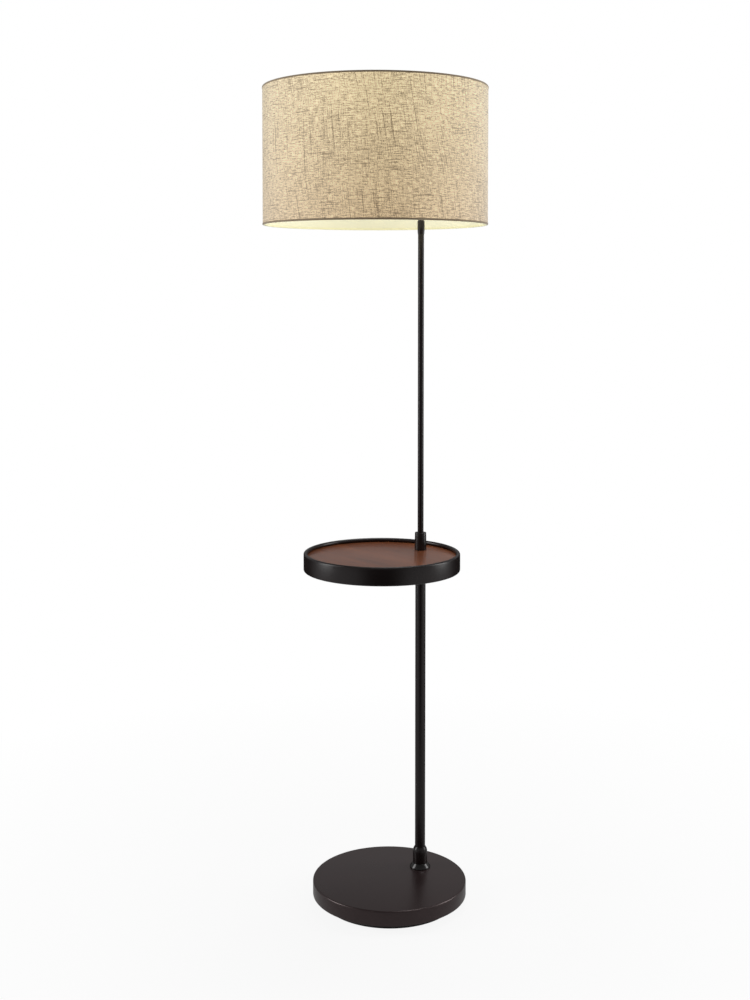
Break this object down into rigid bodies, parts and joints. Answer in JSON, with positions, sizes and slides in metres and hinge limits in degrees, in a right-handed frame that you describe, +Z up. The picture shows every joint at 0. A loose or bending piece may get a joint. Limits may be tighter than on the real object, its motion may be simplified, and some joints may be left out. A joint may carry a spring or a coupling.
{
  "type": "floor lamp with table",
  "caption": "Floor lamp with a round base, a slim two-step pole behind it, a round rimmed tray half way up and a wide drum shade set forward of the pole.",
  "frame": {"origin": "centre of the round foot's underside, on the floor", "axes": "+Z up along the pole, -Y to the front, where tray and shade lean; the pole stands behind the centre on +Y; +X to the right seen from the front"},
  "size_m": [0.3999, 0.4, 1.4739],
  "materials": {
    "black_paint": "satin black powder coat",
    "flange_gloss": "gloss black",
    "black_moulding": "moulded, fine texture",
    "soft_pad": "foam rubber sheet",
    "cement": "cast, unfinished",
    "zinc_steel": "zinc plated",
    "nickel_wire": "nickel plated",
    "walnut": "walnut veneer, satin lacquer",
    "lead_sheath": "smooth sheath",
    "socket_brass": "lacquered brass",
    "core_moulding": "phenolic moulding",
    "sleeve_card": "pressed card",
    "knob_plastic": "moulded gloss black",
    "bulb_solder": "solder",
    "bulb_insulator_glass": "black glass",
    "bulb_cap_metal": "rolled thread",
    "bulb_opal": "opal glass",
    "linen": "oatmeal slub linen",
    "hem_tape": "taupe rolled hem",
    "liner_film": "white styrene sheet"
  },
  "bodies": {
    "stand": {"arm_hub": "black_paint", "base_cover": "black_paint", "base_flange": "flange_gloss", "base_nipple": "zinc_steel", "base_nut": "zinc_steel", "base_plug": "zinc_steel", "base_washer": "zinc_steel", "base_weight": "cement", "bottom_hem": "hem_tape", "bottom_plate": "zinc_steel", "bottom_ring": "zinc_steel", "bulb_cap": "bulb_cap_metal", "bulb_glass": "bulb_opal", "bulb_insulator": "bulb_insulator_glass", "bulb_tip": "bulb_solder", "centre_contact": "socket_brass", "cord_bushing": "black_moulding", "finial": "black_paint", "foot_pad": "soft_pad", "harp": "nickel_wire", "harp_saddle": "nickel_wire", "harp_sleeves": "nickel_wire", "harp_stud": "nickel_wire", "inner_lead": "lead_sheath", "lamp_arm": "black_paint", "lower_pole": "black_paint", "neck_coupling": "black_paint", "plinth": "black_moulding", "plinth_screws": "zinc_steel", "pole_ferrule": "black_paint", "screw_shell": "socket_brass", "shade_fabric": "linen", "shade_liner": "liner_film", "shade_spider": "nickel_wire", "socket_cap": "socket_brass", "socket_core": "core_moulding", "socket_nipple": "zinc_steel", "socket_shell": "socket_brass", "socket_sleeve": "sleeve_card", "switch_bush": "socket_brass", "top_hem": "hem_tape", "top_ring": "zinc_steel", "tray_board": "walnut", "tray_collar": "black_paint", "tray_nipple": "zinc_steel", "tray_pan": "black_paint", "tray_plug": "zinc_steel", "upper_pole": "black_paint"},
    "switch": {"switch_shaft": "zinc_steel", "switch_knob": "knob_plastic"}
  },
  "joints": [
    {"name": "switch_turn", "type": "hinge", "parent": "stand", "child": "switch", "pos_m": [0, -0.0622, 1.31764], "axis": [0, -1, 0], "continuous": true}
  ]
}
